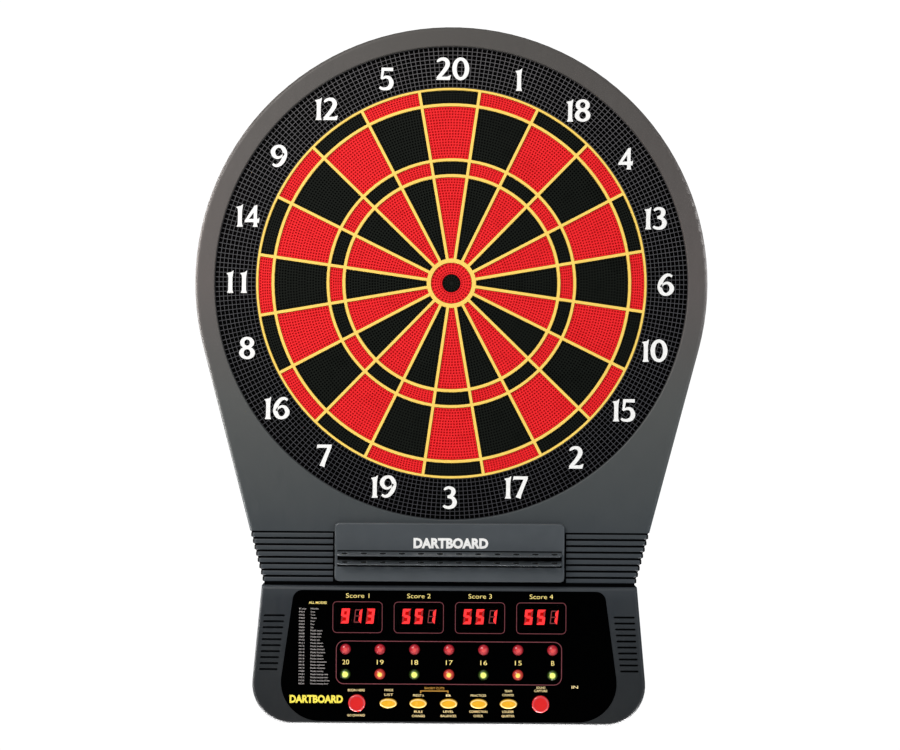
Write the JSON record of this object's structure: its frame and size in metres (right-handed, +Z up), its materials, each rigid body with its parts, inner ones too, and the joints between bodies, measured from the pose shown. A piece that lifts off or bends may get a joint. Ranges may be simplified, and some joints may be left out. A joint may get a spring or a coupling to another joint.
{
  "type": "electronic dartboard",
  "caption": "Wall-hung electronic dartboard: sprung red and black beds in a yellow web, numbered catch ring, dart rack, and a console with score displays, lights and buttons.",
  "frame": {"origin": "the bull's centre projected onto the wall plane, which is the rear cover's outer face", "axes": "+Z up, +X to the right as the player sees it, +Y into the wall; the front looks towards -Y"},
  "size_m": [0.5164, 0.062, 0.7019],
  "materials": {
    "housing": "fine moulded texture, dark grey",
    "rack": "fine moulded texture, dark grey",
    "cover": "moulded black",
    "catch": "moulded black with fine ribs",
    "spider": "satin yellow",
    "bed_red": "moulded red",
    "bed_black": "moulded black",
    "panel": "printed gloss black",
    "window": "smoked red window",
    "circuit": "solder mask green",
    "component": "moulded black",
    "display": "dark red segment module",
    "light_red": "tinted clear, unlit",
    "light_green": "tinted clear, lit",
    "light_orange": "tinted clear, lit",
    "button_red": "glossy red",
    "button_amber": "glossy amber",
    "switch": "black switch body",
    "steel": "zinc plated",
    "speaker_steel": "plated steel",
    "cone": "black paper cone",
    "rubber": "black rubber sheet",
    "foam": "closed cell foam",
    "film": "translucent printed film",
    "fibreboard": "bare fibreboard",
    "jack": "black nylon",
    "wire": "red insulated wire"
  },
  "bodies": {
    "housing": {"front_housing": "housing", "rear_cover": "cover", "cover_screws": "steel", "catch_ring": "catch", "ring_screws": "steel", "spider": "spider", "spider_screws": "steel", "backing_board": "fibreboard", "board_screws": "steel", "foam_pad": "foam", "membrane_layers": "film", "rubber_mat": "rubber", "dart_rack": "rack", "rack_screws": "steel", "display_panel": "panel", "display_windows": "window", "main_board": "circuit", "main_board_screws": "steel", "board_components": "component", "score_displays": "display", "upper_lights": "light_red", "lower_green_lights": "light_green", "lower_red_lights": "light_orange", "key_switches": "switch", "speaker_frame": "speaker_steel", "speaker_cone": "cone", "microphone": "speaker_steel", "power_jack": "jack", "membrane_tail": "film", "speaker_leads": "wire"},
    "beds_20": {"beds_20": "bed_red"},
    "beds_1": {"beds_1": "bed_black"},
    "beds_18": {"beds_18": "bed_red"},
    "beds_4": {"beds_4": "bed_black"},
    "beds_13": {"beds_13": "bed_red"},
    "beds_6": {"beds_6": "bed_black"},
    "beds_10": {"beds_10": "bed_red"},
    "beds_15": {"beds_15": "bed_black"},
    "beds_2": {"beds_2": "bed_red"},
    "beds_17": {"beds_17": "bed_black"},
    "beds_3": {"beds_3": "bed_red"},
    "beds_19": {"beds_19": "bed_black"},
    "beds_7": {"beds_7": "bed_red"},
    "beds_16": {"beds_16": "bed_black"},
    "beds_8": {"beds_8": "bed_red"},
    "beds_11": {"beds_11": "bed_black"},
    "beds_14": {"beds_14": "bed_red"},
    "beds_9": {"beds_9": "bed_black"},
    "beds_12": {"beds_12": "bed_red"},
    "beds_5": {"beds_5": "bed_black"},
    "outer_bull": {"outer_bull": "bed_red"},
    "inner_bull": {"inner_bull": "bed_black"},
    "start_button": {"start_button": "button_red"},
    "record_button": {"record_button": "button_red"},
    "menu_button": {"menu_button": "button_amber"},
    "options_button": {"options_button": "button_amber"},
    "handicap_button": {"handicap_button": "button_amber"},
    "audit_button": {"audit_button": "button_amber"},
    "volume_button": {"volume_button": "button_amber"}
  },
  "joints": [
    {"name": "beds_20_press", "type": "slide", "parent": "housing", "child": "beds_20", "axis": [0, 1, 0], "range_m": [0, 0.0012], "stiffness_N_per_m": 1500},
    {"name": "beds_1_press", "type": "slide", "parent": "housing", "child": "beds_1", "axis": [0, 1, 0], "range_m": [0, 0.0012], "stiffness_N_per_m": 1500},
    {"name": "beds_18_press", "type": "slide", "parent": "housing", "child": "beds_18", "axis": [0, 1, 0], "range_m": [0, 0.0012], "stiffness_N_per_m": 1500},
    {"name": "beds_4_press", "type": "slide", "parent": "housing", "child": "beds_4", "axis": [0, 1, 0], "range_m": [0, 0.0012], "stiffness_N_per_m": 1500},
    {"name": "beds_13_press", "type": "slide", "parent": "housing", "child": "beds_13", "axis": [0, 1, 0], "range_m": [0, 0.0012], "stiffness_N_per_m": 1500},
    {"name": "beds_6_press", "type": "slide", "parent": "housing", "child": "beds_6", "axis": [0, 1, 0], "range_m": [0, 0.0012], "stiffness_N_per_m": 1500},
    {"name": "beds_10_press", "type": "slide", "parent": "housing", "child": "beds_10", "axis": [0, 1, 0], "range_m": [0, 0.0012], "stiffness_N_per_m": 1500},
    {"name": "beds_15_press", "type": "slide", "parent": "housing", "child": "beds_15", "axis": [0, 1, 0], "range_m": [0, 0.0012], "stiffness_N_per_m": 1500},
    {"name": "beds_2_press", "type": "slide", "parent": "housing", "child": "beds_2", "axis": [0, 1, 0], "range_m": [0, 0.0012], "stiffness_N_per_m": 1500},
    {"name": "beds_17_press", "type": "slide", "parent": "housing", "child": "beds_17", "axis": [0, 1, 0], "range_m": [0, 0.0012], "stiffness_N_per_m": 1500},
    {"name": "beds_3_press", "type": "slide", "parent": "housing", "child": "beds_3", "axis": [0, 1, 0], "range_m": [0, 0.0012], "stiffness_N_per_m": 1500},
    {"name": "beds_19_press", "type": "slide", "parent": "housing", "child": "beds_19", "axis": [0, 1, 0], "range_m": [0, 0.0012], "stiffness_N_per_m": 1500},
    {"name": "beds_7_press", "type": "slide", "parent": "housing", "child": "beds_7", "axis": [0, 1, 0], "range_m": [0, 0.0012], "stiffness_N_per_m": 1500},
    {"name": "beds_16_press", "type": "slide", "parent": "housing", "child": "beds_16", "axis": [0, 1, 0], "range_m": [0, 0.0012], "stiffness_N_per_m": 1500},
    {"name": "beds_8_press", "type": "slide", "parent": "housing", "child": "beds_8", "axis": [0, 1, 0], "range_m": [0, 0.0012], "stiffness_N_per_m": 1500},
    {"name": "beds_11_press", "type": "slide", "parent": "housing", "child": "beds_11", "axis": [0, 1, 0], "range_m": [0, 0.0012], "stiffness_N_per_m": 1500},
    {"name": "beds_14_press", "type": "slide", "parent": "housing", "child": "beds_14", "axis": [0, 1, 0], "range_m": [0, 0.0012], "stiffness_N_per_m": 1500},
    {"name": "beds_9_press", "type": "slide", "parent": "housing", "child": "beds_9", "axis": [0, 1, 0], "range_m": [0, 0.0012], "stiffness_N_per_m": 1500},
    {"name": "beds_12_press", "type": "slide", "parent": "housing", "child": "beds_12", "axis": [0, 1, 0], "range_m": [0, 0.0012], "stiffness_N_per_m": 1500},
    {"name": "beds_5_press", "type": "slide", "parent": "housing", "child": "beds_5", "axis": [0, 1, 0], "range_m": [0, 0.0012], "stiffness_N_per_m": 1500},
    {"name": "outer_bull_press", "type": "slide", "parent": "housing", "child": "outer_bull", "axis": [0, 1, 0], "range_m": [0, 0.0012], "stiffness_N_per_m": 900},
    {"name": "inner_bull_press", "type": "slide", "parent": "housing", "child": "inner_bull", "axis": [0, 1, 0], "range_m": [0, 0.0012], "stiffness_N_per_m": 700},
    {"name": "start_button_press", "type": "slide", "parent": "housing", "child": "start_button", "axis": [0, 1, 0], "range_m": [0, 0.001], "stiffness_N_per_m": 500},
    {"name": "record_button_press", "type": "slide", "parent": "housing", "child": "record_button", "axis": [0, 1, 0], "range_m": [0, 0.001], "stiffness_N_per_m": 500},
    {"name": "menu_button_press", "type": "slide", "parent": "housing", "child": "menu_button", "axis": [0, 1, 0], "range_m": [0, 0.001], "stiffness_N_per_m": 500},
    {"name": "options_button_press", "type": "slide", "parent": "housing", "child": "options_button", "axis": [0, 1, 0], "range_m": [0, 0.001], "stiffness_N_per_m": 500},
    {"name": "handicap_button_press", "type": "slide", "parent": "housing", "child": "handicap_button", "axis": [0, 1, 0], "range_m": [0, 0.001], "stiffness_N_per_m": 500},
    {"name": "audit_button_press", "type": "slide", "parent": "housing", "child": "audit_button", "axis": [0, 1, 0], "range_m": [0, 0.001], "stiffness_N_per_m": 500},
    {"name": "volume_button_press", "type": "slide", "parent": "housing", "child": "volume_button", "axis": [0, 1, 0], "range_m": [0, 0.001], "stiffness_N_per_m": 500}
  ]
}
